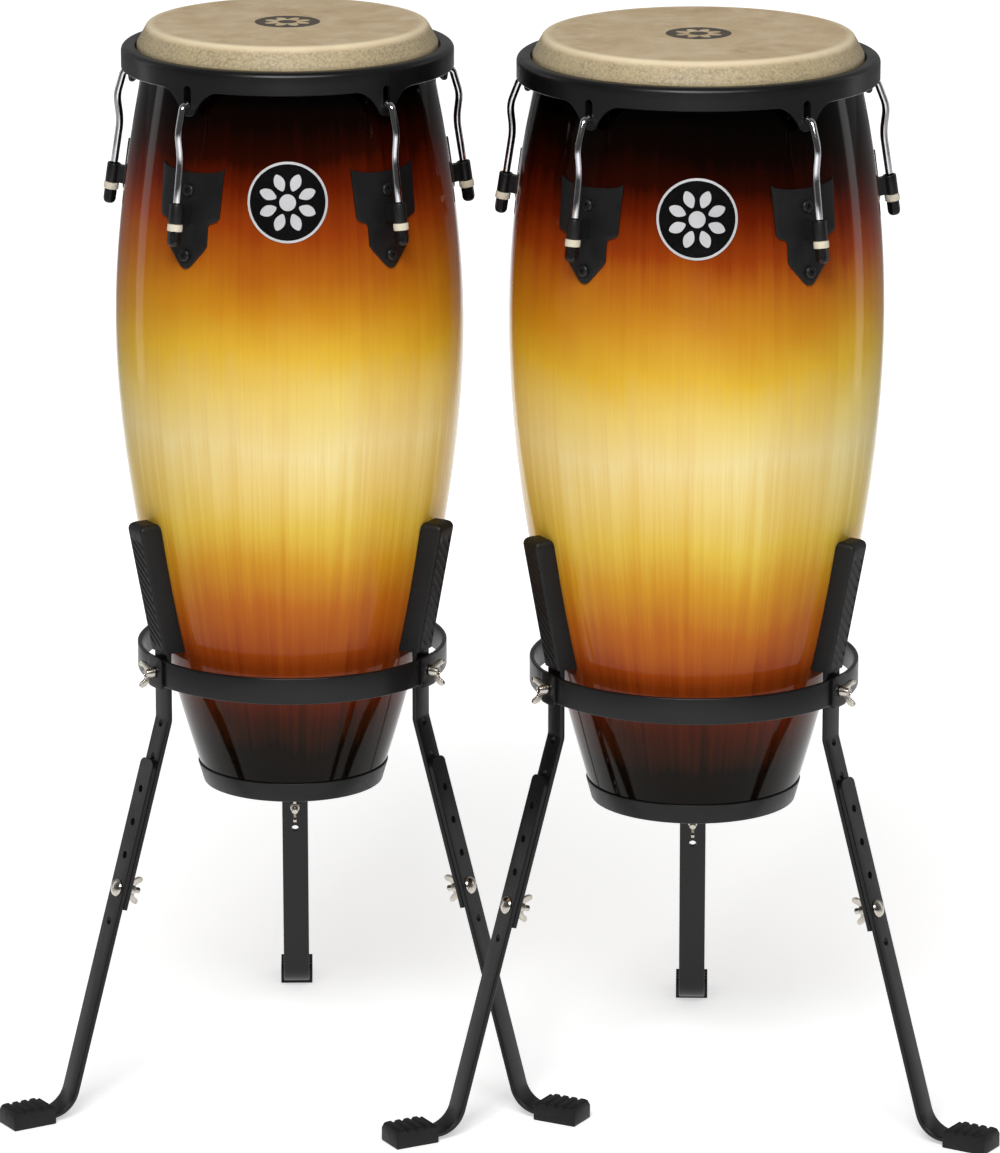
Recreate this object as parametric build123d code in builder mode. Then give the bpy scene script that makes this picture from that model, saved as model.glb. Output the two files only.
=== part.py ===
"""A pair of tapered wooden hand drums, each standing in a three-legged basket stand.

Each set is built about its drum's own upright axis and its pieces are named after it: the smaller
quinto on the left and the larger conga on the right. Heights (z) are measured from the floor, and an
azimuth is measured round a drum's axis from its front towards +X. The fronts face -Y, each turned a
little towards the other set.
"""

from build123d import *
from dataclasses import dataclass
from math import atan, cos, degrees, radians, sin, tan
import os

os.makedirs("parts", exist_ok=True)


# --- sizes of the two drums ---------------------------------------------------------------------

@dataclass
class DrumSet:
    name: str
    head_r: float        # radius of the playing surface
    outline: list        # (radius, height) of the shell's outer face, from the foot up
    ring_r: float        # outer radius of the basket ring
    foot_r: float        # distance of the feet's centres from the drum's axis
    turn: float          # degrees that the set's front is turned from -Y towards +X
    x: float = 0.0
    y: float = 0.0


SHELL_BOTTOM, SHELL_TOP, HEAD_TOP = 295.0, 1012.8, 1015.0

quinto = DrumSet(
    name="quinto",
    head_r=127.0,
    outline=[(82.5, SHELL_BOTTOM), (121, 430), (147, 564), (161.5, 738), (150.3, 876), (125.5, SHELL_TOP)],
    ring_r=145.0,
    foot_r=288.0,
    turn=1.4,
)
conga = DrumSet(
    name="conga",
    head_r=139.7,
    outline=[(93.5, SHELL_BOTTOM), (130.5, 430), (158, 568), (172.5, 740), (165, 876), (138.2, SHELL_TOP)],
    ring_r=153.0,
    foot_r=299.5,
    turn=-1.7,
)
PAIR_X, PAIR_Y = 375.5, -59.0        # from the quinto's axis to the conga's

# --- shell and its trim ---------------------------------------------------------------------------

STAVES = 15
WALL = 10.5
BAND_WALL, BAND_HEIGHT, BAND_SOLE, BAND_LIP = 1.5, 17.0, 2.0, 8.0
BADGE_R, BADGE_Z, BADGE_THICK = 36.5, 877.0, 1.2

# --- head and rim ---------------------------------------------------------------------------------

SKIN = 2.2
COLLAR_OUT, COLLAR_TOP, COLLAR_BOTTOM = 11.4, 997.0, 979.0
HOOP_ROD_R, HOOP_Z = 3.2, 983.9
RIM_OUT, RIM_LIP_IN, RIM_WALL = 26.0, 12.2, 3.6
RIM_BOTTOM, RIM_TOP = 974.5, 995.5
EAR_BOTTOM, EAR_HALF, EAR_TIP_HALF = 951.0, 32.0, 7.5
EAR_SLOT_R, EAR_SLOT_BOTTOM, EAR_SLOT_TOP = 4.0, 958.2, 979.0

# --- tuning lugs ------------------------------------------------------------------------------------

LUG_AZIMUTHS = [-36, 36, 108, 180, -108]
ROD_R, THREAD_R = 3.5, 3.0
ROD_TILT = 9.0                       # a tuning hook leans out this far towards its foot
HOOK_OUT, HOOK_BOW = 19.5, 3.0       # the straight rod's top from the shell, and the bow above it
HOOK_Z, HOOK_BOW_Z, ROD_TOP_Z = 962.0, 937.0, 914.0
THREAD_TOP_DROP, ROD_LENGTH = 44.0, 72.0
BRACKET_R, BRACKET_BORE_R, BRACKET_DROP, BRACKET_LENGTH = 6.4, 4.2, 41.0, 18.0
WEB_HALF, WEB_REACH = 4.0, 24.0
WASHER_R, WASHER_LENGTH = 7.0, 6.5
NUT_AF, NUT_LENGTH, NUT_BORE_R, NUT_CAP = 10.6, 14.0, 3.65, 2.6
RUN_GAP = 0.25                       # between faces that turn or slide on each other
PLATE = 2.0
PLATE_TOP, PLATE_BOTTOM = 905.0, 814.0
BOLT_HEIGHTS = [883.0, 824.0]
BOLT_R, BOLT_HOLE_R, BOLT_HEAD_R, BOLT_HEAD = 3.0, 3.2, 5.6, 3.6
BACK_WASHER_R, BACK_WASHER, BACK_NUT_AF, BACK_NUT = 8.0, 1.5, 10.0, 5.0

# --- stand ------------------------------------------------------------------------------------------

LEG_AZIMUTHS = [-60, 60, 180]
RING_BOTTOM, RING_HEIGHT, RING_WALL = 404.5, 25.0, 4.0
CLAMP_PLATE_W, CLAMP_PLATE_H, CLAMP_PLATE = 25.0, 30.0, 3.0
BAR_W, BAR = 25.0, 4.6
BAR_TO_RING = 0.7
LEG_LEAN, ARM_LEAN = 16.0, 11.2
ARM_KNEE_Z, ARM_TOP_Z, BAR_BEND_R = 441.0, 548.0, 12.0
CLAMP_Z = 213.0                      # where a leg's clamp bolt crosses the joint between its two bars
CLAMP_FROM_RING = 40.6               # and how far outside the ring it is
HOLE_PITCH, HOLE_R = 32.0, 3.6
UPPER_END, LOWER_END = 18.0, 125.0   # past the clamp bolt, down and up the leg
TAIL_Z, TAIL_BEND_R, TAIL_INTO_FOOT = 6.4, 24.0, 14.0
FOOT_L, FOOT_W, FOOT_H, FOOT_GROOVE = 44.0, 31.0, 18.0, 1.4
PAD_W, PAD_BOTTOM, PAD_TOP, PAD_OUT, PAD_GAP = 27.0, 436.0, 561.0, 3.0, 0.3
SCREW_R, WING_HUB_R, WING_HUB, WING_SPAN, WING_THICK = 3.0, 5.5, 9.0, 13.0, 3.0
DOME_R, DOME = 8.5, 4.2

# --- where the two sets stand: the origin is under the middle of the pair's box ---------------------

def foot_corners(drum, x, y):
    """The corners of the three feet, with the drum's axis at x, y."""
    for azimuth in LEG_AZIMUTHS:
        a = radians(azimuth + drum.turn)
        for r in (drum.foot_r - FOOT_L / 2, drum.foot_r + FOOT_L / 2):
            for s in (-FOOT_W / 2, FOOT_W / 2):
                yield x + r * sin(a) + s * cos(a), y - r * cos(a) + s * sin(a)


all_x, all_y = zip(*foot_corners(quinto, 0, 0), *foot_corners(conga, PAIR_X, PAIR_Y))
quinto.x, quinto.y = -(min(all_x) + max(all_x)) / 2, -(min(all_y) + max(all_y)) / 2
conga.x, conga.y = quinto.x + PAIR_X, quinto.y + PAIR_Y


# --- planes -----------------------------------------------------------------------------------------

def side(drum, azimuth):
    """The plane through the drum's axis: its x points outwards at the azimuth, and its y up."""
    a = radians(azimuth + drum.turn)
    return Plane(origin=(drum.x, drum.y, 0), x_dir=(sin(a), -cos(a), 0), z_dir=(-cos(a), -sin(a), 0))


def facing(drum, azimuth, r=0.0, z=0.0, rise=0.0):
    """A plane square to a line that leaves the drum's axis at the azimuth and rises by some degrees."""
    a, up = radians(azimuth + drum.turn), radians(rise)
    outward = Vector(sin(a), -cos(a), 0)
    return Plane(
        origin=Vector(drum.x, drum.y, z) + outward * r,
        x_dir=(cos(a), sin(a), 0),
        z_dir=outward * cos(up) + Vector(0, 0, sin(up)),
    )


def level(drum, z=0.0):
    return Plane((drum.x, drum.y, z))


def upright(drum):
    return Axis((drum.x, drum.y, 0), (0, 0, 1))


# --- shell ------------------------------------------------------------------------------------------

def shell_line(drum):
    """The shell's outer face as one smooth line, in a side plane."""
    with BuildLine() as line:
        Spline(*drum.outline)
    return line.line


def shell_radius(drum, z):
    """The shell's outer radius and its slope (mm outwards for each mm up) at a height."""
    line = shell_line(drum)
    low, high = 0.0, 1.0
    for _ in range(40):
        middle = (low + high) / 2
        if (line @ middle).Y < z:
            low = middle
        else:
            high = middle
    run = line % low
    return (line @ low).X, run.X / run.Y


def skin_of_shell(drum, start, thickness):
    """The face between two copies of the shell's outer line, moved outwards by start and more."""
    with BuildSketch() as layer:
        with BuildLine():
            near = Spline(*[(r + start, z) for r, z in drum.outline])
            far = Spline(*[(r + start + thickness, z) for r, z in drum.outline])
            Line(near @ 0, far @ 0)
            Line(near @ 1, far @ 1)
        make_face()
    return layer.sketch


def bolt_planes(drum):
    """Each side plate's two bolts, square to the shell: plane on the shell's outer face, z outwards."""
    planes = []
    for azimuth in LUG_AZIMUTHS:
        for z in BOLT_HEIGHTS:
            r, slope = shell_radius(drum, z)
            planes.append(facing(drum, azimuth, r, z, -degrees(atan(slope))))
    return planes


def make_shell(drum):
    """Glued staves, each one solid, with the side plates' bolt holes."""
    turn = 360 / STAVES
    staves = []
    for number in range(STAVES):
        with BuildPart() as stave:
            with BuildSketch(side(drum, number * turn)):
                add(skin_of_shell(drum, -WALL, WALL))
            revolve(axis=upright(drum), revolution_arc=turn)
            middle = (number + 0.5) * turn
            if any(abs((middle - lug + 180) % 360 - 180) < 1 for lug in LUG_AZIMUTHS):
                for plane in bolt_planes(drum):
                    with BuildSketch(plane):
                        Circle(BOLT_HOLE_R)
                    extrude(amount=2 * WALL, both=True, mode=Mode.SUBTRACT)
        staves.append(stave.part)
    return Compound(children=staves)


def make_base_band(drum):
    """Rubber band under the shell's foot, turned up inside and outside it."""
    bottom = SHELL_BOTTOM - BAND_SOLE
    foot_r = drum.outline[0][0]
    top_r, _ = shell_radius(drum, SHELL_BOTTOM + BAND_HEIGHT)
    with BuildPart() as band:
        with BuildSketch(side(drum, 0)):
            Polygon(
                (foot_r - WALL - BAND_WALL, bottom),
                (foot_r + BAND_WALL, bottom),
                (top_r + BAND_WALL, SHELL_BOTTOM + BAND_HEIGHT),
                (top_r - WALL / 2, SHELL_BOTTOM + BAND_HEIGHT),
                (foot_r - WALL / 2, SHELL_BOTTOM + BAND_LIP),
                (foot_r - WALL - BAND_WALL + 2, SHELL_BOTTOM + BAND_LIP),
                align=None,
            )
            add(skin_of_shell(drum, -WALL, WALL), mode=Mode.SUBTRACT)
        revolve(axis=upright(drum))
    return band.part


def make_badge(drum):
    """Round badge, bent to the front of the shell."""
    with BuildPart() as badge:
        with BuildSketch(side(drum, 0)):
            add(skin_of_shell(drum, 0, BADGE_THICK))
        revolve(axis=upright(drum))
        with BuildSketch(facing(drum, 0, z=BADGE_Z)):
            Circle(BADGE_R)
        extrude(amount=2 * drum.head_r, mode=Mode.INTERSECT)
    return badge.part


# --- head -------------------------------------------------------------------------------------------

def make_skin(drum):
    """Drumhead: flat playing surface, turned down over the shell's edge into a short collar."""
    middle_z, collar_r = HEAD_TOP - SKIN / 2, drum.head_r + COLLAR_OUT - SKIN / 2
    with BuildPart() as skin:
        with BuildSketch(side(drum, 0)):
            with BuildLine():
                FilletPolyline(
                    (0, middle_z),
                    (drum.head_r + 1, middle_z),
                    (collar_r, COLLAR_TOP),
                    (collar_r, COLLAR_BOTTOM),
                    radius=4,
                )
            trace(line_width=SKIN)
        revolve(axis=upright(drum))
    return skin.part


def make_flesh_hoop(drum):
    """Round wire hoop at the skin's collar, under the rim's lip."""
    with BuildPart() as hoop:
        with BuildSketch(side(drum, 0)):
            with Locations((drum.head_r + COLLAR_OUT + 0.4 + HOOP_ROD_R, HOOP_Z)):
                Circle(HOOP_ROD_R)
        revolve(axis=upright(drum))
    return hoop.part


def make_rim(drum):
    """Pressed steel rim with a rolled top edge and an ear with a hook slot above each lug."""
    outer, half = drum.head_r + RIM_OUT, RIM_WALL / 2
    with BuildPart() as room:
        for azimuth in LUG_AZIMUTHS:
            with BuildSketch(facing(drum, azimuth)):
                with BuildLine():
                    right = Spline(
                        (EAR_HALF, RIM_BOTTOM), (EAR_HALF / 2, RIM_BOTTOM - 6), (EAR_TIP_HALF, EAR_BOTTOM + 4)
                    )
                    left = Spline(
                        (-EAR_HALF, RIM_BOTTOM), (-EAR_HALF / 2, RIM_BOTTOM - 6), (-EAR_TIP_HALF, EAR_BOTTOM + 4)
                    )
                    ThreePointArc(right @ 1, (0, EAR_BOTTOM), left @ 1)
                    Polyline(left @ 0, (-EAR_HALF, RIM_TOP), (EAR_HALF, RIM_TOP), right @ 0)
                make_face()
            extrude(amount=2 * outer)
        with BuildSketch(level(drum, RIM_BOTTOM)):
            Circle(2 * outer)
        extrude(amount=2 * (RIM_TOP - RIM_BOTTOM))
    with BuildPart() as rim:
        with BuildSketch(side(drum, 0)):
            with BuildLine():
                FilletPolyline(
                    (outer - half, EAR_BOTTOM - 2),
                    (outer - half, RIM_TOP - half),
                    (drum.head_r + RIM_LIP_IN + half, RIM_TOP - half),
                    (drum.head_r + RIM_LIP_IN + half, HOOP_Z + HOOP_ROD_R + 0.3),
                    radius=3,
                )
            trace(line_width=RIM_WALL)
        revolve(axis=upright(drum))
        add(room.part, mode=Mode.INTERSECT)
        for azimuth in LUG_AZIMUTHS:
            with BuildSketch(facing(drum, azimuth, r=outer - 3 * RIM_WALL)):
                with Locations((0, (EAR_SLOT_BOTTOM + EAR_SLOT_TOP) / 2)):
                    SlotOverall(EAR_SLOT_TOP - EAR_SLOT_BOTTOM, 2 * EAR_SLOT_R, rotation=90)
            extrude(amount=6 * RIM_WALL, mode=Mode.SUBTRACT)
    return rim.part


# --- tuning lugs ------------------------------------------------------------------------------------

def rod_top_r(drum):
    return shell_radius(drum, ROD_TOP_Z)[0] + HOOK_OUT


def rod_plane(drum, azimuth, drop):
    """Square to a hook's straight rod, a distance down it from its top; z points down the rod."""
    tilt = radians(ROD_TILT)
    return facing(
        drum, azimuth, rod_top_r(drum) + drop * sin(tilt), ROD_TOP_Z - drop * cos(tilt), ROD_TILT - 90
    )


def make_tuning_hooks(drum):
    """Steel hooks: over the rim's ear, bowed outwards, then straight down to an M6 thread."""
    inner, top_r, tilt = drum.head_r + RIM_OUT - RIM_WALL, rod_top_r(drum), radians(ROD_TILT)
    hooks = []
    for azimuth in LUG_AZIMUTHS:
        with BuildPart() as hook:
            with BuildLine(side(drum, azimuth)) as path:
                FilletPolyline(
                    (inner - 4, HOOK_Z),
                    (inner + 10, HOOK_Z),
                    (top_r + HOOK_BOW, HOOK_BOW_Z),
                    (top_r, ROD_TOP_Z),
                    (top_r + THREAD_TOP_DROP * sin(tilt), ROD_TOP_Z - THREAD_TOP_DROP * cos(tilt)),
                    radius=5.5,
                )
            with BuildSketch(Plane(path.line @ 0, z_dir=path.line % 0)):
                Circle(ROD_R)
            sweep(path=path.line)
            with BuildSketch(rod_plane(drum, azimuth, THREAD_TOP_DROP)):
                Circle(THREAD_R)
            extrude(amount=ROD_LENGTH - THREAD_TOP_DROP)
        hooks.append(hook.part)
    return Compound(children=hooks)


def make_side_plates(drum):
    """Plates bolted to the shell, each with a welded tube that guides its tuning hook."""
    plates = []
    for azimuth in LUG_AZIMUTHS:
        with BuildPart() as plate:
            with BuildSketch(facing(drum, azimuth)):
                with BuildLine():
                    ThreePointArc((-34, PLATE_TOP), (0, PLATE_TOP - 6), (34, PLATE_TOP))
                    Polyline((34, PLATE_TOP), (32.5, 860), (21.5, 852), (21.5, 833), (5, PLATE_BOTTOM))
                    ThreePointArc((5, PLATE_BOTTOM), (0, PLATE_BOTTOM - 2), (-5, PLATE_BOTTOM))
                    Polyline((-5, PLATE_BOTTOM), (-21.5, 833), (-21.5, 852), (-32.5, 860), (-34, PLATE_TOP))
                make_face()
            extrude(amount=2 * drum.head_r)
            with BuildSketch(side(drum, azimuth - 20)):
                add(skin_of_shell(drum, 0, PLATE))
            revolve(axis=upright(drum), revolution_arc=40, mode=Mode.INTERSECT)
            tube = rod_plane(drum, azimuth, BRACKET_DROP)
            with BuildSketch(tube):
                Circle(BRACKET_R)
                with Locations((0, -WEB_REACH / 2)):
                    Rectangle(2 * WEB_HALF, WEB_REACH)
            extrude(amount=BRACKET_LENGTH)
            with BuildSketch(side(drum, azimuth - 20)):
                add(skin_of_shell(drum, -2 * WALL, 2 * WALL))
            revolve(axis=upright(drum), revolution_arc=40, mode=Mode.SUBTRACT)
            with BuildSketch(tube):
                Circle(BRACKET_BORE_R)
            extrude(amount=BRACKET_LENGTH, mode=Mode.SUBTRACT)
            for plane in bolt_planes(drum):
                with BuildSketch(plane):
                    Circle(BOLT_HOLE_R)
                extrude(amount=2 * PLATE, both=True, mode=Mode.SUBTRACT)
        plates.append(plate.part)
    return Compound(children=plates)


def make_lug_nut(drum, azimuth):
    """Closed hexagon nut on a hook's thread, with the plastic washer that it turns on."""
    below = BRACKET_DROP + BRACKET_LENGTH + RUN_GAP
    with BuildPart() as washer:
        with BuildSketch(rod_plane(drum, azimuth, below)):
            Circle(WASHER_R)
            Circle(NUT_BORE_R, mode=Mode.SUBTRACT)
        extrude(amount=WASHER_LENGTH)
    with BuildPart() as nut:
        with BuildSketch(rod_plane(drum, azimuth, below + WASHER_LENGTH)):
            RegularPolygon(NUT_AF / 2, 6, major_radius=False)
        extrude(amount=NUT_LENGTH)
        chamfer(nut.faces().sort_by(Axis.Z)[0].edges(), 1.5)
        with BuildSketch(rod_plane(drum, azimuth, below + WASHER_LENGTH)):
            Circle(NUT_BORE_R)
        extrude(amount=NUT_LENGTH - NUT_CAP, mode=Mode.SUBTRACT)
    return Compound(children=[washer.part, nut.part])


def make_plate_bolts(drum):
    """Button-head bolts through the side plates and the shell."""
    bolts = []
    for plane in bolt_planes(drum):
        with BuildPart() as bolt:
            with BuildSketch(plane.offset(PLATE + 0.1)):
                Circle(BOLT_HEAD_R)
            extrude(amount=BOLT_HEAD)
            fillet(bolt.faces().sort_by_distance(plane.offset(30).origin)[0].edges(), 2)
            with BuildSketch(plane.offset(PLATE + 0.1 + BOLT_HEAD)):
                RegularPolygon(2, 6)
            extrude(amount=-2, mode=Mode.SUBTRACT)
            with BuildSketch(plane.offset(PLATE + 0.1)):
                Circle(BOLT_R)
            extrude(amount=-(PLATE + WALL + BACK_WASHER + BACK_NUT + 2))
        bolts.append(bolt.part)
    return Compound(children=bolts)


def make_backing_nuts(drum):
    """A steel washer and a hexagon nut on the inner end of every plate bolt."""
    pieces = []
    for plane in bolt_planes(drum):
        with BuildPart() as washer:
            with BuildSketch(plane.offset(-WALL - 0.3)):
                Circle(BACK_WASHER_R)
                Circle(BOLT_R, mode=Mode.SUBTRACT)
            extrude(amount=-BACK_WASHER)
        with BuildPart() as nut:
            with BuildSketch(plane.offset(-WALL - 0.3 - BACK_WASHER)):
                RegularPolygon(BACK_NUT_AF / 2, 6, major_radius=False)
                Circle(BOLT_R, mode=Mode.SUBTRACT)
            extrude(amount=-BACK_NUT)
        pieces += [washer.part, nut.part]
    return Compound(children=pieces)


# --- stand ------------------------------------------------------------------------------------------

def leg_point(drum, along=0.0, outward=0.0):
    """A point of a leg's side plane, down the leg and out of it from where the clamp bolt crosses."""
    lean = radians(LEG_LEAN)
    return (
        drum.ring_r + CLAMP_FROM_RING + along * sin(lean) + outward * cos(lean),
        CLAMP_Z - along * cos(lean) + outward * sin(lean),
    )


def leg_plane(drum, azimuth, along=0.0, outward=0.0):
    """Square to a leg's clamp bolt, with z outwards."""
    r, z = leg_point(drum, along, outward)
    return facing(drum, azimuth, r, z, LEG_LEAN)


def screw_z():
    return RING_BOTTOM + RING_HEIGHT / 2


def make_basket_ring(drum):
    """Flat steel ring with a welded doubler plate and a screw hole at each leg."""
    inner = drum.ring_r - RING_WALL
    with BuildPart() as ring:
        for azimuth in LEG_AZIMUTHS:
            with BuildSketch(facing(drum, azimuth, inner - 2, screw_z())):
                RectangleRounded(CLAMP_PLATE_W, CLAMP_PLATE_H, 4)
            extrude(amount=2 + RING_WALL + CLAMP_PLATE)
        with BuildSketch(level(drum, RING_BOTTOM)):
            Circle(drum.ring_r)
        extrude(amount=RING_HEIGHT)
        with BuildSketch(level(drum, RING_BOTTOM - RING_HEIGHT)):
            Circle(inner)
        extrude(amount=3 * RING_HEIGHT, mode=Mode.SUBTRACT)
        for azimuth in LEG_AZIMUTHS:
            with BuildSketch(facing(drum, azimuth, 0, screw_z())):
                Circle(HOLE_R)
            extrude(amount=2 * drum.ring_r, mode=Mode.SUBTRACT)
    return ring.part


def make_upper_leg(drum, azimuth):
    """Steel bar bent at the ring: a leaning arm above it, and a row of holes down the leg."""
    middle_r = drum.ring_r - RING_WALL - BAR_TO_RING - BAR / 2
    bottom = leg_point(drum, UPPER_END, -BAR / 2)
    bend_z = bottom[1] + (bottom[0] - middle_r) / tan(radians(LEG_LEAN))
    with BuildPart() as leg:
        with BuildSketch(side(drum, azimuth)):
            with BuildLine():
                FilletPolyline(
                    (middle_r + (ARM_TOP_Z - ARM_KNEE_Z) * tan(radians(ARM_LEAN)), ARM_TOP_Z),
                    (middle_r, ARM_KNEE_Z),
                    (middle_r, bend_z),
                    bottom,
                    radius=BAR_BEND_R,
                )
            trace(line_width=BAR)
        extrude(amount=BAR_W / 2, both=True)
        for number in range(6):
            with BuildSketch(leg_plane(drum, azimuth, -number * HOLE_PITCH)):
                Circle(HOLE_R)
            extrude(amount=2 * BAR, both=True, mode=Mode.SUBTRACT)
        with BuildSketch(facing(drum, azimuth, middle_r, screw_z())):
            Circle(HOLE_R)
        extrude(amount=BAR, both=True, mode=Mode.SUBTRACT)
    return leg.part


def make_pad(drum, azimuth, arm):
    """Rubber pad over a leg's arm; its inner face follows the shell."""
    outer = drum.ring_r - RING_WALL - BAR_TO_RING + PAD_OUT
    lean_out = (PAD_TOP - PAD_BOTTOM) * tan(radians(ARM_LEAN))
    with BuildPart() as pad:
        with BuildSketch(side(drum, azimuth)):
            Polygon(
                (outer - 40, PAD_BOTTOM),
                (outer - 3, PAD_BOTTOM),
                (outer + lean_out, PAD_TOP - 8),
                (outer + lean_out - 6, PAD_TOP),
                (outer + lean_out - 40, PAD_TOP),
                align=None,
            )
        extrude(amount=PAD_W / 2, both=True)
        with BuildSketch(side(drum, azimuth - 20)):
            add(skin_of_shell(drum, PAD_GAP - 50, 50))
        revolve(axis=upright(drum), revolution_arc=40, mode=Mode.SUBTRACT)
        add(arm, mode=Mode.SUBTRACT)
    return pad.part


def make_lower_leg(drum, azimuth):
    """Flat bar outside the upper leg, slotted over the clamp bolt's travel and bent into the foot."""
    middle = BAR / 2 + RUN_GAP
    top = leg_point(drum, -LOWER_END, middle)
    drop = (leg_point(drum, 0, middle)[1] - TAIL_Z) / cos(radians(LEG_LEAN))
    with BuildPart() as leg:
        with BuildSketch(side(drum, azimuth)):
            with BuildLine():
                FilletPolyline(
                    top,
                    leg_point(drum, drop, middle),
                    (drum.foot_r + TAIL_INTO_FOOT, TAIL_Z),
                    radius=TAIL_BEND_R,
                )
            trace(line_width=BAR)
        extrude(amount=BAR_W / 2, both=True)
        end = leg_plane(drum, azimuth, -LOWER_END, middle).origin
        corners = leg.edges().filter_by(lambda edge: abs(edge.length - BAR) < 0.01)
        fillet(corners.sort_by_distance(end)[:2], 7)
        with BuildSketch(leg_plane(drum, azimuth, -HOLE_PITCH, 0)):
            SlotCenterToCenter(4 * HOLE_PITCH, 2 * HOLE_R, rotation=90)
        extrude(amount=2 * BAR, mode=Mode.SUBTRACT)
    return leg.part


def make_foot(drum, azimuth, tail):
    """Rubber foot with ridges across its top, pushed over the lower leg's tail."""
    with BuildPart() as foot:
        with BuildSketch(side(drum, azimuth)):
            with Locations((drum.foot_r, FOOT_H / 2)):
                RectangleRounded(FOOT_L, FOOT_H, 2.5)
            for place in (-12, -4, 4, 12):
                with Locations((drum.foot_r + place, FOOT_H)):
                    Rectangle(3, 2 * FOOT_GROOVE, mode=Mode.SUBTRACT)
        extrude(amount=FOOT_W / 2, both=True)
        add(tail, mode=Mode.SUBTRACT)
    return foot.part


def make_wings(plane):
    """The two rounded wings of a wing screw: the plane's z runs out along it from the hub's base."""
    with BuildPart() as wings:
        with BuildSketch(Plane(origin=plane.origin, x_dir=plane.z_dir, z_dir=plane.x_dir)):
            for way in (1, -1):
                with BuildLine():
                    blade = Spline(
                        (1, way * 3),
                        (7, way * (WING_SPAN - 3)),
                        (14, way * WING_SPAN),
                        (15, way * (WING_SPAN - 5)),
                        (WING_HUB - 1, way * 3),
                    )
                    Line(blade @ 1, blade @ 0)
                make_face()
        extrude(amount=WING_THICK / 2, both=True)
    return wings.part


def make_ring_wing_bolt(drum, azimuth):
    """Wing bolt through the ring into an upper leg."""
    base = facing(drum, azimuth, drum.ring_r + CLAMP_PLATE + RUN_GAP, screw_z())
    with BuildPart() as bolt:
        with BuildSketch(base):
            Circle(WING_HUB_R)
        extrude(amount=WING_HUB, taper=6)
        with BuildSketch(base):
            Circle(SCREW_R)
        extrude(amount=-(CLAMP_PLATE + RING_WALL + BAR + 4))
        add(make_wings(base))
    return bolt.part


def make_leg_clamp(drum, azimuth):
    """Domed bolt through both bars of a leg, with its wing nut on the inner side."""
    head = leg_plane(drum, azimuth, 0, BAR + 2 * RUN_GAP)
    with BuildPart() as bolt:
        with BuildSketch(head):
            Circle(DOME_R)
        extrude(amount=DOME)
        fillet(bolt.faces().sort_by_distance(head.offset(30).origin)[0].edges(), DOME - 0.8)
        with BuildSketch(head):
            Circle(SCREW_R)
        extrude(amount=-(2 * BAR + 3 * RUN_GAP + WING_HUB + 4))
    inside = leg_plane(drum, azimuth, 0, -BAR - RUN_GAP)
    inside = Plane(origin=inside.origin, x_dir=inside.x_dir, z_dir=-inside.z_dir)
    with BuildPart() as nut:
        with BuildSketch(inside):
            Circle(WING_HUB_R)
        extrude(amount=WING_HUB, taper=6)
        add(make_wings(inside))
        with BuildSketch(inside):
            Circle(SCREW_R)
        extrude(amount=WING_HUB, mode=Mode.SUBTRACT)
    return Compound(children=[bolt.part, nut.part])


# --- build and export ---------------------------------------------------------------------------------

def write(drum, name, shape):
    shape.label = f"{drum.name}_{name}"
    export_step(shape, f"parts/{shape.label}.step")


for drum in (quinto, conga):
    write(drum, "shell", make_shell(drum))
    write(drum, "base_band", make_base_band(drum))
    write(drum, "badge", make_badge(drum))
    write(drum, "skin", make_skin(drum))
    write(drum, "flesh_hoop", make_flesh_hoop(drum))
    write(drum, "rim", make_rim(drum))
    write(drum, "tuning_hooks", make_tuning_hooks(drum))
    write(drum, "side_plates", make_side_plates(drum))
    write(drum, "plate_bolts", make_plate_bolts(drum))
    write(drum, "backing_nuts", make_backing_nuts(drum))
    for number, azimuth in enumerate(LUG_AZIMUTHS, 1):
        write(drum, f"lug_nut_{number}", make_lug_nut(drum, azimuth))
    write(drum, "basket_ring", make_basket_ring(drum))
    upper_legs, pads = [], []
    for number, azimuth in enumerate(LEG_AZIMUTHS, 1):
        upper_leg = make_upper_leg(drum, azimuth)
        upper_legs.append(upper_leg)
        pads.append(make_pad(drum, azimuth, upper_leg))
        lower_leg = make_lower_leg(drum, azimuth)
        write(drum, f"lower_leg_{number}", lower_leg)
        write(drum, f"foot_{number}", make_foot(drum, azimuth, lower_leg))
        write(drum, f"ring_wing_bolt_{number}", make_ring_wing_bolt(drum, azimuth))
        write(drum, f"leg_clamp_{number}", make_leg_clamp(drum, azimuth))
    write(drum, "upper_legs", Compound(children=upper_legs))
    write(drum, "pads", Compound(children=pads))
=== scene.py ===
from math import atan2, ceil, cos, degrees, hypot, pi, radians, sin, sqrt, tan

import bmesh
import bpy
from mathutils import Matrix, Vector, noise
from mathutils.bvhtree import BVHTree


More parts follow.
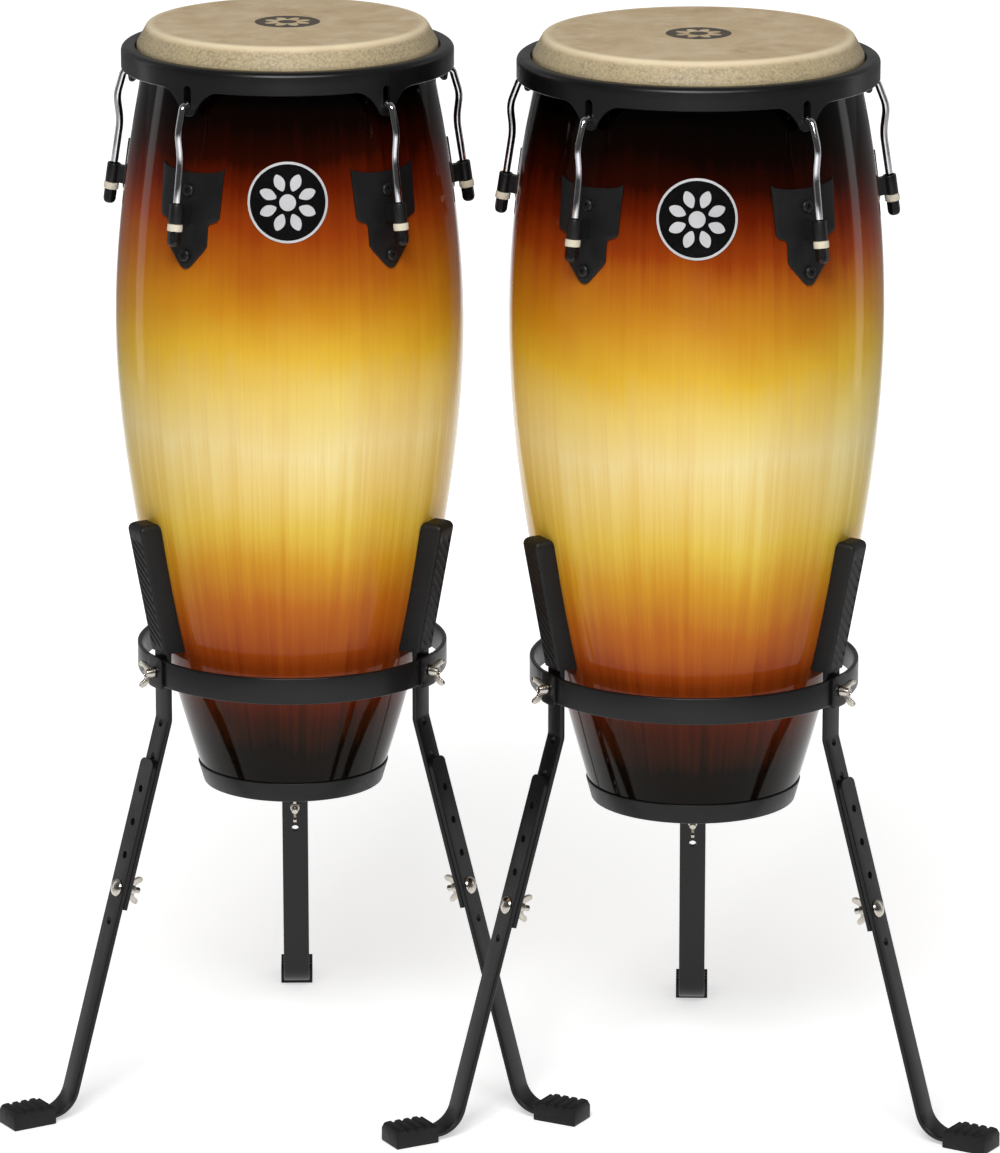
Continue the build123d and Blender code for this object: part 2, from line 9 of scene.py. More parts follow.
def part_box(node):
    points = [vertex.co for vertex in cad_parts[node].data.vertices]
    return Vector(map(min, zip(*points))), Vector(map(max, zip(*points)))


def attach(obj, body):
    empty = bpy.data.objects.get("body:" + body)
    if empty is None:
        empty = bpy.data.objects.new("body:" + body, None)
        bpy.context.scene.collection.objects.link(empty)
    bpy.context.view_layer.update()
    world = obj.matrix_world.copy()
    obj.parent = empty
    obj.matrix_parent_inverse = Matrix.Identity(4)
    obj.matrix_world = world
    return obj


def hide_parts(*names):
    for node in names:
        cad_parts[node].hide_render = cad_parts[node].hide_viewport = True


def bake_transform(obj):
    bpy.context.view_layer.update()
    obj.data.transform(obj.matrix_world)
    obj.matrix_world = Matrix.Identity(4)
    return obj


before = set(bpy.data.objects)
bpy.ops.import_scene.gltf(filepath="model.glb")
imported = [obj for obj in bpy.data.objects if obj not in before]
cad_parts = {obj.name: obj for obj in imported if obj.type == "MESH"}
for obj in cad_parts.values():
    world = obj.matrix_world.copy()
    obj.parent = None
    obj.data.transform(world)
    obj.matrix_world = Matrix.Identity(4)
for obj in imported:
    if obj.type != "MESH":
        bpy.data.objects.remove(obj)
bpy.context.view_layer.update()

# A pair of congas on basket stands. Lengths are in millimetres until a mesh is made, heights are above
# the floor, and an azimuth is measured round a drum's axis from its front towards +X.
# Names that end in _R are radii, and those that end in _Z or in _TOP and _BOTTOM are heights.
MM = 0.001
LUGS = (-36, 36, 108, 180, -108)
LEGS = (-60, 60, 180)
STAVES = 15

# The shell, its base band and the head's collar, with the rim and the hoop that draw it down.
SHELL_BOTTOM, SHELL_TOP, HEAD_TOP = 295.0, 1012.8, 1015.0
WALL = 10.5
BAND_HEIGHT, BAND_SOLE = 17.0, 2.0
SKIN, COLLAR_OUT, COLLAR_TOP, COLLAR_BOTTOM = 2.2, 11.4, 997.0, 979.0
RIM_OUT, RIM_WALL, RIM_LIP_IN, RIM_BOTTOM, RIM_TOP = 26.0, 3.6, 12.2, 974.5, 995.5
HOOP_R, HOOP_Z = 3.2, 983.9
ROLL_START = 10.0
EAR_BOTTOM, EAR_HALF, EAR_TIP_HALF, EAR_TIP_RISE = 951.0, 32.0, 7.5, 4.0
SLOT_R, SLOT_BOTTOM, SLOT_TOP = 4.0, 958.2, 979.0

# Each lug: a hook, the guide tube on its side plate, and a nut with its washer.
ROD_R, THREAD_R, ROD_TILT, ROD_TOP_Z, ROD_LENGTH = 3.5, 3.0, 9.0, 914.0, 72.0
HOOK_OUT, HOOK_BOW, HOOK_BOW_Z, HOOK_Z = 19.5, 3.0, 937.0, 962.0
BRACKET_R, BRACKET_BORE_R, BRACKET_DROP, BRACKET_LENGTH, WEB_REACH = 6.4, 4.2, 41.0, 18.0, 20.0
WASHER_R, WASHER_LENGTH, NUT_HALF, NUT_LENGTH = 7.0, 6.5, 5.3, 14.0
PLATE, PLATE_HALF, PLATE_TOP, PLATE_BOTTOM = 2.0, 34.0, 905.0, 814.0
BADGE_R, BADGE_Z, BADGE_FIELD_R, ROUNDEL_R, PETALS = 36.5, 877.0, 34.4, 30.0, 8

# The stand: ring, legs, pads, feet and wing screws. The leans are degrees from upright.
RING_BOTTOM, RING_HEIGHT, RING_WALL, DOUBLER = 404.5, 25.0, 4.0, 3.0
BAR_W, BAR, BAR_TO_RING, RUN_GAP = 25.0, 4.6, 0.7, 0.25
LEG_LEAN, ARM_LEAN, ARM_KNEE_Z, ARM_TOP_Z = 16.0, 11.2, 441.0, 548.0
CLAMP_Z, CLAMP_FROM_RING = 213.0, 40.6
HOLE_PITCH, HOLE_R = 32.0, 3.6
UPPER_END, LOWER_END, TAIL_Z, TAIL_INTO_FOOT = 18.0, 125.0, 6.4, 14.0
FOOT_L, FOOT_W, FOOT_H = 44.0, 31.0, 18.0
PAD_W, PAD_BOTTOM, PAD_TOP, PAD_OUT = 27.0, 436.0, 561.0, 3.0
WING_HUB, WING_HUB_R = 9.0, 5.5


# --- the two drums ----------------------------------------------------------------------------------

class Drum:
    """One set's measures, and points round its upright axis."""

    def __init__(self, name, head, ring, foot, turn, dark_top):
        """Radii of the head, ring and feet, the front's azimuth, and how far the dark top comes down."""
        self.name, self.head, self.ring, self.foot, self.turn = name, head, ring, foot, turn
        self.dark_top = dark_top
        low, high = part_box(f"{name}_shell")
        self.x, self.y = (low.x + high.x) / 2 / MM, (low.y + high.y) / 2 / MM
        self.drum, self.rim, self.stand = f"{name}_drum", f"{name}_rim_ring", "stands"
        self.outline = self._measure_shell(self._shell_tree())

    def _shell_tree(self):
        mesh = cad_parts[f"{self.name}_shell"].data
        return BVHTree.FromPolygons([v.co for v in mesh.vertices], [p.vertices for p in mesh.polygons])

    def _measure_shell(self, tree):
        """The shell's outer radius at even heights: the widest of a few rays towards the axis."""
        rows = 90
        outline = []
        for row in range(rows + 1):
            z = SHELL_BOTTOM + 0.3 + (SHELL_TOP - SHELL_BOTTOM - 0.6) * row / rows
            widest = 0.0
            for azimuth in (11, 12, 13, 203, 204, 205):
                start = Vector(self.point(azimuth, 300, z)) * MM
                aim = Vector((self.x, self.y, z)) * MM - start
                hit = tree.ray_cast(start, aim.normalized())[0]
                if hit:
                    widest = max(widest, hypot(hit.x / MM - self.x, hit.y / MM - self.y))
            outline.append((z, widest))
        return outline

    def shell_r(self, z):
        """The shell's outer radius at a height."""
        step = (self.outline[-1][0] - self.outline[0][0]) / (len(self.outline) - 1)
        place = min(max((z - self.outline[0][0]) / step, 0.0), len(self.outline) - 1.001)
        row = int(place)
        part = place - row
        return self.outline[row][1] * (1 - part) + self.outline[row + 1][1] * part

    def shell_rise(self, z):
        """How many degrees the shell's surface leans from upright: positive where it widens upwards."""
        return degrees(atan2(self.shell_r(z + 4) - self.shell_r(z - 4), 8))

    def point(self, azimuth, r, z, s=0.0):
        a = radians(azimuth + self.turn)
        return (self.x + r * sin(a) + s * cos(a), self.y - r * cos(a) + s * sin(a), z)

    def aimed(self, azimuth, r, z, rise):
        """A frame whose z leaves the axis at the azimuth and climbs by some degrees; x is sideways."""
        a, up = radians(azimuth + self.turn), radians(rise)
        out = Vector((sin(a), -cos(a), 0))
        axis = out * cos(up) + Vector((0, 0, sin(up)))
        across = Vector((cos(a), sin(a), 0))
        turn = Matrix((across, axis.cross(across), axis)).transposed().to_4x4()
        return Matrix.Translation(self.point(azimuth, r, z)) @ turn

    def upright(self):
        return Matrix.Translation((self.x, self.y, 0))


DRUMS = [
    Drum("quinto", head=127.0, ring=145.0, foot=288.0, turn=1.4, dark_top=0),
    Drum("conga", head=139.7, ring=153.0, foot=299.5, turn=-1.7, dark_top=12),
]


# --- mesh tools -------------------------------------------------------------------------------------

def finish_mesh(obj, body, material, sharp=35):
    mesh = obj.data
    mesh.shade_smooth()
    mesh.set_sharp_from_angle(angle=radians(sharp))
    if not mesh.materials:
        mesh.materials.append(material)
    if body:
        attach(obj, body)


def piece(name, parts, body, material, sharp=35, bevel=0.0, cut=None):
    """One object from (vertices in mm, faces) lists. It may have its edges bevelled, or holes cut."""
    mesh = bpy.data.meshes.new(name)
    vertices, faces = [], []
    for part_vertices, part_faces in parts:
        base = len(vertices)
        vertices += [Vector(v) * MM for v in part_vertices]
        faces += [[base + i for i in face] for face in part_faces]
    mesh.from_pydata(vertices, [], faces)
    work = bmesh.new()
    work.from_mesh(mesh)
    bmesh.ops.remove_doubles(work, verts=work.verts, dist=1e-6)
    bmesh.ops.recalc_face_normals(work, faces=work.faces)
    work.to_mesh(mesh)
    work.free()
    obj = bpy.data.objects.new(name, mesh)
    bpy.context.scene.collection.objects.link(obj)
    if cut:
        cutter = piece(name + "_cutter", cut, None, material)
        tool = obj.modifiers.new("holes", "BOOLEAN")
        tool.object, tool.operation, tool.solver = cutter, "DIFFERENCE", "EXACT"
        apply_modifiers(obj)
        bpy.data.objects.remove(cutter)
    if bevel:
        tool = obj.modifiers.new("edges", "BEVEL")
        tool.width, tool.segments, tool.limit_method = bevel * MM, 3, "ANGLE"
        tool.angle_limit = radians(40)
        apply_modifiers(obj)
    finish_mesh(obj, body, material, sharp)
    return obj


def apply_modifiers(obj):
    bpy.context.view_layer.update()
    graph = bpy.context.evaluated_depsgraph_get()
    mesh = bpy.data.meshes.new_from_object(obj.evaluated_get(graph))
    obj.modifiers.clear()
    obj.data = mesh


def rounded(points, radius, steps=4, closed=False):
    """A line of 2-D points with its corners turned into arcs; radius may be a list, one per corner."""
    count = len(points)
    inner = range(count) if closed else range(1, count - 1)
    radii = radius if isinstance(radius, (list, tuple)) else [radius] * len(inner)
    out = [] if closed else [Vector(points[0])]
    for corner, want in zip(inner, radii):
        here = Vector(points[corner])
        back, on = Vector(points[corner - 1]) - here, Vector(points[(corner + 1) % count]) - here
        half = back.angle(on) / 2
        reach = min(want / tan(half), 0.49 * back.length, 0.49 * on.length)
        if reach < 0.01:
            out.append(here)
            continue
        r = reach * tan(half)
        middle = here + (back.normalized() + on.normalized()).normalized() * (r / sin(half))
        first, last = here + back.normalized() * reach - middle, here + on.normalized() * reach - middle
        turn = first.angle_signed(last)
        for step in range(steps + 1):
            spoke = first.copy()
            spoke.rotate(Matrix.Rotation(-turn * step / steps, 2))
            out.append(middle + spoke)
    if not closed:
        out.append(Vector(points[-1]))
    return [tuple(p) for p in out]


def curve_through(points, steps=6, closed=False):
    """A smooth line through 2-D points."""
    count = len(points)
    out = []
    for i in range(count if closed else count - 1):
        a, b = points[i], points[(i + 1) % count]
        before = points[i - 1] if closed or i else a
        after = points[(i + 2) % count] if closed or i + 2 < count else b
        for step in range(steps):
            t = step / steps
            out.append(tuple(
                b0 + 0.5 * t * (b1 - a0 + t * (2 * a0 - 5 * b0 + 4 * b1 - a1 + t * (3 * (b0 - b1) + a1 - a0)))
                for a0, b0, b1, a1 in zip(before, a, b, after)
            ))
    if not closed:
        out.append(points[-1])
    return out


def spin(profile, place, steps=64, closed=False, flats=0):
    """Turns a profile of (radius, height) about a frame's z. With flats, the radius is a prism's."""
    vertices, faces = [], []
    count = len(profile)
    for step in range(steps):
        a = 2 * pi * step / steps
        for r, h in profile:
            if flats:
                side = 2 * pi / flats
                r = min(r[0] / cos((a + side / 2) % side - side / 2), r[1])
            vertices.append(place @ Vector((r * cos(a), r * sin(a), h)))
    for step in range(steps):
        here, on = step * count, (step + 1) % steps * count
        for i in range(count if closed else count - 1):
            j = (i + 1) % count
            faces.append((here + i, on + i, on + j, here + j))
    if not closed:
        for i, r in ((0, profile[0][0]), (count - 1, profile[-1][0])):
            if flats or r > 1e-6:
                faces.append([step * count + i for step in range(steps)])
    return vertices, faces


def bar(drum, azimuth, path, section, scale=None):
    """Sweeps a section of (thickness, sideways) points along a path of (r, z) in a drum's side plane."""
    vertices, faces = [], []
    count = len(section)
    for i, (r, z) in enumerate(path):
        before, after = Vector(path[max(i - 1, 0)]), Vector(path[min(i + 1, len(path) - 1)])
        if 0 < i < len(path) - 1:
            one = (Vector(path[i]) - before).normalized()
            two = (after - Vector(path[i])).normalized()
            along = (one + two).normalized()
            widen = 1 / max(along.dot(one), 0.5)
        else:
            along, widen = (after - before).normalized(), 1.0
        normal = Vector((along.y, -along.x)) * widen
        size = scale(i) if scale else 1.0
        for thick, s in section:
            vertices.append(drum.point(
                azimuth, r + normal.x * thick * size, z + normal.y * thick * size, s * size
            ))
    for i in range(len(path) - 1):
        for j in range(count):
            k = (j + 1) % count
            faces.append((i * count + j, i * count + k, (i + 1) * count + k, (i + 1) * count + j))
    faces.append(range(count))
    faces.append(range((len(path) - 1) * count, len(path) * count))
    return vertices, faces


def prism(outline, place, low, high):
    """An outline of (x, y) in a frame, extruded along its z."""
    count = len(outline)
    vertices = [place @ Vector((x, y, h)) for h in (low, high) for x, y in outline]
    faces = [(i, (i + 1) % count, count + (i + 1) % count, count + i) for i in range(count)]
    return vertices, faces + [range(count), range(count, 2 * count)]


def circle(r, steps=16):
    return [(r * cos(2 * pi * i / steps), r * sin(2 * pi * i / steps)) for i in range(steps)]


def wrapped(drum, azimuth, outline, surface_r, thickness, cell=5.0):
    """A plate bent over a round surface, in cells small enough to follow it: (sideways, height) points."""
    work = bmesh.new()
    corners = [work.verts.new((s, z, 0)) for s, z in outline]
    work.faces.new(corners)
    for axis in (0, 1):
        low, high = min(p[axis] for p in outline), max(p[axis] for p in outline)
        for step in range(1, ceil((high - low) / cell)):
            spot = [0.0, 0.0, 0.0]
            spot[axis] = low + step * cell
            normal = [0, 0, 0]
            normal[axis] = 1
            everything = work.verts[:] + work.edges[:] + work.faces[:]
            bmesh.ops.bisect_plane(work, geom=everything, plane_co=spot, plane_no=normal)
    work.verts.index_update()
    base = [(v.co.x, v.co.y) for v in work.verts]
    count = len(base)
    vertices = []
    for lift in (0.0, thickness):
        for s, z in base:
            r = surface_r(z) + lift
            vertices.append(drum.point(azimuth + degrees(s / surface_r(z)), r, z))
    faces = [[v.index for v in f.verts] for f in work.faces]
    faces += [[count + i for i in face] for face in faces]
    for edge in work.edges:
        if len(edge.link_faces) == 1:
            a, b = edge.verts[0].index, edge.verts[1].index
            faces.append((a, b, count + b, count + a))
    work.free()
    return vertices, faces


# --- materials --------------------------------------------------------------------------------------

def srgb(*channels):
    """A colour given as 8-bit sRGB, in Blender's linear units."""
    return tuple(c / 255 / 12.92 if c <= 10 else ((c / 255 + 0.055) / 1.055) ** 2.4 for c in channels) + (1,)


class Surface:
    """A material being built: its principled shader and short calls that add nodes before it."""

    def __init__(self, name, **values):
        self.material = bpy.data.materials.new(name)
        self.material.use_nodes = True
        self.tree = self.material.node_tree
        self.shader = self.tree.nodes["Principled BSDF"]
        self.set(self.shader, values)
        self.place = self.add("ShaderNodeTexCoord").outputs["Object"]

    def set(self, node, values):
        for key, value in values.items():
            socket = node.inputs[key.replace("_", " ")]
            if isinstance(value, bpy.types.NodeSocket):
                self.tree.links.new(value, socket)
            else:
                socket.default_value = value

    def add(self, kind, values=None, **settings):
        node = self.tree.nodes.new(kind)
        for key, value in settings.items():
            setattr(node, key, value)
        self.set(node, values or {})
        return node

    def stretched(self, x, y, z):
        scale = self.add("ShaderNodeMapping", {"Vector": self.place, "Scale": (x, y, z)})
        return scale.outputs["Vector"]

    def noise(self, scale, detail=3.0, rough=0.55, where=None, distortion=0.0):
        values = {"Vector": where or self.place, "Scale": scale, "Detail": detail,
                  "Roughness": rough, "Distortion": distortion}
        return self.add("ShaderNodeTexNoise", values).outputs["Fac"]

    def math(self, operation, a, b=0.0, clamp=False):
        node = self.add("ShaderNodeMath", operation=operation, use_clamp=clamp)
        for socket, value in zip(node.inputs, (a, b)):
            if isinstance(value, bpy.types.NodeSocket):
                self.tree.links.new(value, socket)
            else:
                socket.default_value = value
        return node.outputs[0]

    def span(self, value, low, high, to_low=0.0, to_high=1.0):
        values = {"Value": value, "From_Min": low, "From_Max": high, "To_Min": to_low, "To_Max": to_high}
        return self.add("ShaderNodeMapRange", values).outputs["Result"]

    def ramp(self, value, stops, mode="LINEAR"):
        node = self.add("ShaderNodeValToRGB", {"Fac": value})
        node.color_ramp.interpolation = mode
        elements = node.color_ramp.elements
        while len(elements) < len(stops):
            elements.new(0.5)
        for element, (place, colour) in zip(elements, stops):
            element.position, element.color = place, colour
        return node.outputs["Color"]

    def mix(self, factor, a, b, blend="MIX"):
        node = self.add("ShaderNodeMix", data_type="RGBA", blend_type=blend)
        for socket, value in ((node.inputs[0], factor), (node.inputs[6], a), (node.inputs[7], b)):
            if isinstance(value, bpy.types.NodeSocket):
                self.tree.links.new(value, socket)
            else:
                socket.default_value = value
        return node.outputs[2]

    def bump(self, height, distance, strength=1.0):
        values = {"Height": height, "Distance": distance, "Strength": strength}
        self.set(self.shader, {"Normal": self.add("ShaderNodeBump", values).outputs["Normal"]})

    def feed(self, **values):
        self.set(self.shader, values)
        return self.material


def grey(value):
    return (value, value, value, 1)


# The sprayed colours: height on the shell, and 8-bit sRGB. The dark top starts at DARK_TOP_START.
DARK_TOP_START = 830
BURST = [
    (295, (6, 4, 2)), (345, (14, 7, 2)), (372, (56, 23, 3)), (400, (100, 36, 8)), (445, (154, 70, 22)),
    (485, (182, 104, 28)), (530, (206, 154, 42)), (570, (222, 194, 80)), (615, (233, 213, 134)),
    (650, (236, 222, 160)), (695, (231, 209, 118)), (735, (221, 184, 56)), (775, (200, 142, 32)),
    (815, (172, 98, 24)), (850, (144, 60, 15)), (885, (94, 26, 4)), (915, (40, 8, 1)),
    (945, (12, 3, 1)), (975, (3, 2, 1)),
]


def lacquered_wood(drum):
    """Gloss sunburst over upright staves: the grain, each stave's own tone and the sprayed bands."""
    s = Surface(f"{drum.name}_sunburst", Roughness=0.07, Specular_IOR_Level=0.13)
    centred = s.add("ShaderNodeMapping", {"Vector": s.place, "Location": (-drum.x * MM, -drum.y * MM, 0)})
    split = s.add("ShaderNodeSeparateXYZ", {"Vector": centred.outputs["Vector"]})
    x, y, z = split.outputs
    turn = s.math("SUBTRACT", s.math("ARCTAN2", x, s.math("MULTIPLY", y, -1.0)), radians(drum.turn))
    turn = s.math("DIVIDE", turn, 2 * pi / STAVES)
    stave = s.math("FLOOR", turn)
    tone = s.add("ShaderNodeTexWhiteNoise", {"W": stave}, noise_dimensions="1D").outputs["Value"]
    grain_place = s.add("ShaderNodeCombineXYZ", {
        "X": s.math("MULTIPLY", turn, 62.0),
        "Y": s.math("MULTIPLY", tone, 40.0),
        "Z": s.math("MULTIPLY", z, 9.0),
    }).outputs["Vector"]
    broad_place = s.add("ShaderNodeCombineXYZ", {
        "X": s.math("MULTIPLY", turn, 7.0),
        "Y": s.math("MULTIPLY", tone, 40.0),
        "Z": s.math("MULTIPLY", z, 3.0),
    }).outputs["Vector"]
    fine = s.noise(1.0, 5.0, 0.65, grain_place)
    broad = s.noise(1.0, 3.0, 0.6, broad_place, 0.6)
    cloud = s.noise(9.0, 2.0, 0.5)
    drift = s.math("ADD", s.span(cloud, 0.3, 0.7, -0.010, 0.010), s.span(broad, 0.3, 0.7, -0.008, 0.008))
    height = s.span(s.math("ADD", z, drift), SHELL_BOTTOM * MM, SHELL_TOP * MM)
    reach = SHELL_TOP - SHELL_BOTTOM
    stops = [(h - drum.dark_top if h > DARK_TOP_START else h, c) for h, c in BURST]
    burst = s.ramp(height, [((h - SHELL_BOTTOM) / reach, srgb(*c)) for h, c in stops])
    figure = s.math("ADD", s.span(fine, 0.25, 0.75, -0.5, 0.5), s.span(broad, 0.3, 0.7, -0.45, 0.45))
    figure = s.math("ADD", figure, s.span(tone, 0.0, 1.0, -0.4, 0.4))
    dark = s.mix(1.0, burst, srgb(244, 224, 200), "MULTIPLY")
    light = s.mix(1.0, burst, (1.06, 1.05, 1.03, 1), "MULTIPLY")
    s.feed(Base_Color=s.mix(s.span(figure, -1.1, 1.1), dark, light))
    s.bump(fine, 0.00004, 0.25)
    return s.material


def raw_wood():
    s = Surface("raw_wood", Roughness=0.6)
    grain = s.noise(30.0, 4.0, 0.6, s.stretched(8, 8, 0.5))
    s.bump(grain, 0.0003, 0.4)
    return s.feed(Base_Color=s.ramp(grain, [(0.3, srgb(120, 84, 52)), (0.7, srgb(176, 132, 86))]))


def drumhead(drum):
    """Mottled natural skin: darker and speckled on its collar, with a printed roundel in the middle."""
    s = Surface(f"{drum.name}_drumhead", Roughness=0.5, Specular_IOR_Level=0.35)
    mottle = s.noise(14.0, 5.0, 0.62, distortion=0.8)
    speckle = s.noise(420.0, 3.0, 0.7)
    cloud = s.noise(38.0, 4.0, 0.6)
    centred = s.add("ShaderNodeMapping", {"Vector": s.place, "Location": (-drum.x * MM, -drum.y * MM, 0)})
    split = s.add("ShaderNodeSeparateXYZ", {"Vector": centred.outputs["Vector"]})
    x, y, z = split.outputs
    flat = s.add("ShaderNodeCombineXYZ", {"X": x, "Y": y}).outputs["Vector"]
    r = s.add("ShaderNodeVectorMath", {"Vector": flat}, operation="LENGTH").outputs["Value"]
    top = [(0.3, srgb(196, 168, 128)), (0.5, srgb(212, 186, 146)), (0.72, srgb(222, 200, 164))]
    pale = s.mix(s.span(cloud, 0.45, 0.75), s.ramp(mottle, top), srgb(226, 206, 172))
    side = [(0.33, srgb(128, 116, 94)), (0.5, srgb(172, 156, 126)), (0.68, srgb(200, 184, 148))]
    side = s.mix(s.span(cloud, 0.3, 0.7, 0.1, 0.5), s.ramp(speckle, side), srgb(202, 182, 140))
    down = s.span(z, (HEAD_TOP - 1.2) * MM, (HEAD_TOP - 6.5) * MM)
    skin = s.mix(down, pale, side)
    edge = s.span(r, (drum.head - 7) * MM, (drum.head - 0.5) * MM)
    edge = s.math("MULTIPLY", edge, s.span(z, (HEAD_TOP - 5) * MM, (HEAD_TOP - 1) * MM))
    skin = s.mix(s.math("MULTIPLY", edge, 0.75), skin, srgb(244, 228, 192))
    roundel = s.span(r, (ROUNDEL_R + 0.2) * MM, (ROUNDEL_R - 0.2) * MM)
    angle = s.math("ARCTAN2", x, s.math("MULTIPLY", y, -1.0))
    petals = s.math("ABSOLUTE", s.math("SINE", s.math("MULTIPLY", angle, PETALS / 2)))
    petal_r = s.math("ADD", s.math("MULTIPLY", petals, 0.0105), 0.0115)
    star = s.span(s.math("SUBTRACT", petal_r, r), -0.0003, 0.0003)
    star = s.math("MULTIPLY", star, s.span(r, 0.0085, 0.0091))
    ink = s.math("MULTIPLY", roundel, s.math("SUBTRACT", 1.0, star))
    worn = s.math("MULTIPLY", ink, s.span(speckle, 0.2, 0.5, 0.7, 0.94))
    s.bump(s.math("ADD", s.math("MULTIPLY", speckle, 0.35), cloud), 0.00035, 0.5)
    return s.feed(Base_Color=s.mix(worn, skin, srgb(52, 49, 44)))


def coated_steel(name, colour, roughness, bump):
    """Powder-coated steel with its fine orange-peel texture."""
    s = Surface(name, Specular_IOR_Level=0.35)
    peel = s.noise(900.0, 2.0, 0.5)
    patch = s.noise(22.0, 3.0, 0.6)
    s.bump(peel, 0.00006, bump)
    return s.feed(
        Base_Color=s.mix(s.span(patch, 0.3, 0.7), colour, tuple(c * 1.35 for c in colour[:3]) + (1,)),
        Roughness=s.span(patch, 0.3, 0.7, roughness - 0.05, roughness + 0.06),
    )


def plated(name, colour, roughness, spread=0.05):
    s = Surface(name, Metallic=1.0)
    patch = s.noise(160.0, 4.0, 0.6)
    s.bump(patch, 0.00004, 0.25)
    return s.feed(
        Base_Color=s.mix(s.span(patch, 0.3, 0.7), colour, tuple(c * 0.86 for c in colour[:3]) + (1,)),
        Roughness=s.span(patch, 0.3, 0.7, roughness, roughness + spread),
    )


def moulded(name, dark, light, roughness, scale=260.0, bump=0.3):
    """Rubber or plastic with a fine moulded grain and dusty patches."""
    s = Surface(name, Specular_IOR_Level=0.3)
    grain = s.noise(scale, 3.0, 0.6)
    dust = s.noise(18.0, 4.0, 0.65)
    s.bump(grain, 0.00012, bump)
    return s.feed(
        Base_Color=s.mix(s.span(dust, 0.35, 0.75), dark, light),
        Roughness=s.span(grain, 0.3, 0.7, roughness - 0.06, roughness + 0.08),
    )


BLACK_STEEL = coated_steel("black_powder_coat", srgb(12, 12, 13), 0.34, 0.3)
DARK_STEEL = coated_steel("dark_grey_coat", srgb(20, 20, 21), 0.36, 0.3)
CHROME = plated("chrome_plate", srgb(222, 222, 226), 0.05, 0.04)
NICKEL = plated("nickel_plate", srgb(206, 200, 190), 0.16, 0.1)
ZINC = plated("zinc_plate", srgb(180, 182, 186), 0.32, 0.1)
RUBBER = moulded("black_rubber", srgb(11, 11, 11), srgb(19, 19, 19), 0.5)
BAND_RUBBER = moulded("band_rubber", srgb(12, 12, 12), srgb(20, 20, 20), 0.35)
NUT_PLASTIC = moulded("black_nut", srgb(16, 16, 17), srgb(26, 26, 27), 0.28)
CREAM_PLASTIC = moulded("cream_washer", srgb(214, 204, 180), srgb(232, 224, 204), 0.42)
ENAMEL = moulded("badge_enamel", srgb(10, 10, 11), srgb(15, 15, 16), 0.14, bump=0.05)
SILVER = moulded("badge_silver", srgb(186, 186, 188), srgb(206, 206, 208), 0.3, bump=0.1)
RAW_WOOD = raw_wood()


# --- drum pieces ------------------------------------------------------------------------------------

def make_shell(drum):
    bottom, top = SHELL_BOTTOM + 0.1, SHELL_TOP
    rows = 84
    outer = [(drum.shell_r(bottom + (top - bottom) * i / rows), bottom + (top - bottom) * i / rows)
             for i in range(rows + 1)]
    inner = [(r - WALL, z) for r, z in outer[::-4]]
    shell = piece(
        f"{drum.name}_shell_wood", [spin(outer + inner, drum.upright(), 180, closed=True)],
        drum.drum, None, sharp=50,
    )
    shell.data.materials.clear()
    shell.data.materials.append(lacquered_wood(drum))
    shell.data.materials.append(RAW_WOOD)
    for face in shell.data.polygons:
        spot = face.center / MM
        inside = hypot(spot.x - drum.x, spot.y - drum.y) < drum.shell_r(spot.z) - 1.0
        face.material_index = 1 if inside else 0
    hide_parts(f"{drum.name}_shell")


def make_base_band(drum):
    foot, top_z = drum.shell_r(SHELL_BOTTOM), SHELL_BOTTOM + BAND_HEIGHT
    top = drum.shell_r(top_z)
    profile = rounded([
        (foot - WALL - 1.4, SHELL_BOTTOM - BAND_SOLE), (foot + 1.5, SHELL_BOTTOM - BAND_SOLE),
        (top + 1.6, top_z),
        (top - 0.5, top_z + 0.4), (foot - 1, SHELL_BOTTOM), (foot - WALL + 0.4, SHELL_BOTTOM + 0.4),
        (foot - WALL + 0.4, SHELL_BOTTOM + 8), (foot - WALL - 1.4, SHELL_BOTTOM + 8),
    ], [0.9, 1.6, 0.7, 0.2, 0.2, 0.2, 0.4, 0.6], 4, closed=True)
    band = piece(f"{drum.name}_foot_band", [spin(profile, drum.upright(), 144, closed=True)],
                 drum.drum, BAND_RUBBER)
    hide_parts(f"{drum.name}_base_band")


def make_skin(drum):
    """The head: flat, rolled over the bearing edge, and down into a collar that the rim draws on."""
    head, collar = drum.head, drum.head + COLLAR_OUT
    outer = [(head * i / 12, HEAD_TOP) for i in range(12)]
    outer += rounded([(head * 0.96, HEAD_TOP), (head + 1.2, HEAD_TOP), (collar, COLLAR_TOP),
                      (collar, COLLAR_BOTTOM)], [5, 7], 7)
    inner = [(collar - SKIN, COLLAR_BOTTOM), (collar - SKIN, COLLAR_TOP - 1), (head + 0.2, HEAD_TOP - SKIN),
             (head * 0.5, HEAD_TOP - SKIN), (0, HEAD_TOP - SKIN)]
    skin = piece(f"{drum.name}_head", [spin(outer + inner, drum.upright(), 144)],
                 None, drumhead(drum), sharp=70)
    for vertex in skin.data.vertices:
        spot = vertex.co * 30
        down = min(max((HEAD_TOP * MM - vertex.co.z) / 0.012, 0), 1)
        if vertex.co.z > (HEAD_TOP - SKIN + 0.5) * MM or down > 0.5:
            vertex.co.z -= (0.10 + 0.25 * down) * MM * abs(noise.noise(spot))
    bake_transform(skin)
    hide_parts(f"{drum.name}_skin")


